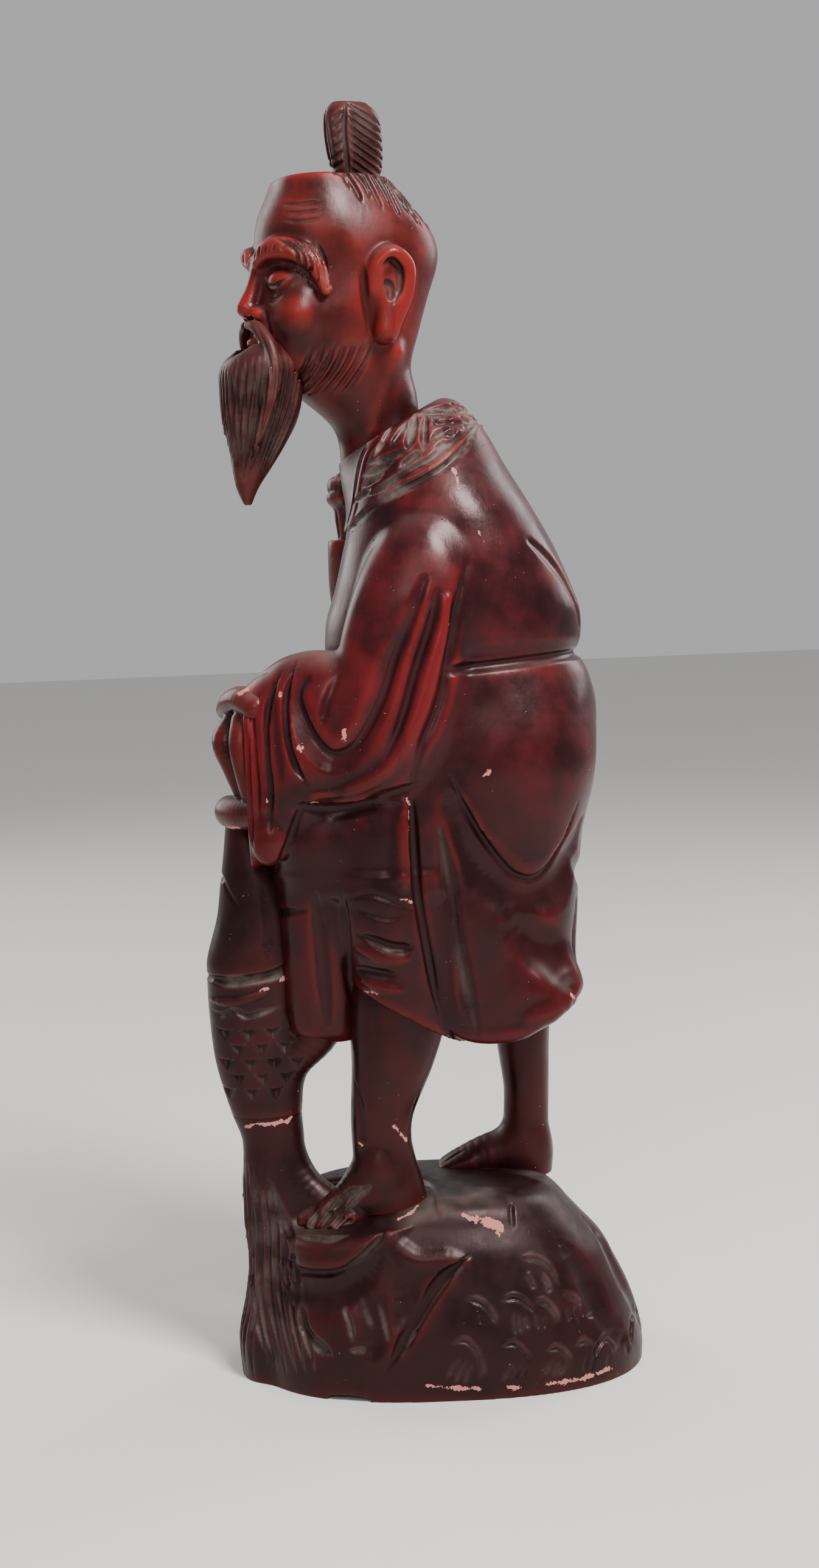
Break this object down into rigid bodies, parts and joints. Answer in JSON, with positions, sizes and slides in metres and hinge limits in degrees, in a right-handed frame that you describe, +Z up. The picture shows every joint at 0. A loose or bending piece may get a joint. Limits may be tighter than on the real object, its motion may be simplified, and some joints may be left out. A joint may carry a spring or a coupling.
{
  "type": "fisherman figurine",
  "caption": "Carved, stained wooden statuette of a stooping bearded fisherman standing on a rock, with a carp hanging from one hand.",
  "frame": {"origin": "centre of the rock's flat underside, on the surface that the figurine stands on", "axes": "+Z up, the figure faces -Y and its left side is +X"},
  "size_m": [0.0851, 0.1346, 0.4],
  "materials": {
    "stained_robe": "dark red-brown stain under a gloss lacquer, rubbed redder on the high spots",
    "stained_skin": "the same stain and gloss lacquer, rubbed to orange-red on the high spots",
    "stained_hair": "the same stain, nearly black in the carved strands",
    "stained_rock": "the same stain and lacquer, dusty grey on top, with pink chips along the rim",
    "bare_dowel": "bare hardwood dowel, hidden in the glue joints"
  },
  "bodies": {
    "root": {"rock_base": "stained_rock", "carp_tail": "stained_rock", "carp_body": "stained_robe", "left_leg": "stained_skin", "right_leg": "stained_skin", "trousers": "stained_robe", "robe_skirt": "stained_robe", "robe_torso": "stained_robe", "straw_cape": "stained_robe", "left_sleeve": "stained_robe", "left_hand": "stained_skin", "right_sleeve": "stained_robe", "right_hand": "stained_skin", "head": "stained_skin", "topknot": "stained_hair", "beard": "stained_hair", "left_foot_dowel": "bare_dowel", "right_foot_dowel": "bare_dowel", "left_leg_dowel": "bare_dowel", "right_leg_dowel": "bare_dowel", "trouser_dowel": "bare_dowel", "waist_dowel_left": "bare_dowel", "waist_dowel_right": "bare_dowel", "cape_dowel": "bare_dowel", "neck_dowel": "bare_dowel", "left_arm_dowel": "bare_dowel", "right_arm_dowel": "bare_dowel", "left_wrist_peg": "bare_dowel", "right_wrist_peg": "bare_dowel", "carp_peg": "bare_dowel", "carp_tail_peg": "bare_dowel", "rock_peg": "bare_dowel", "beard_peg": "bare_dowel", "topknot_peg": "bare_dowel"}
  },
  "joints": []
}
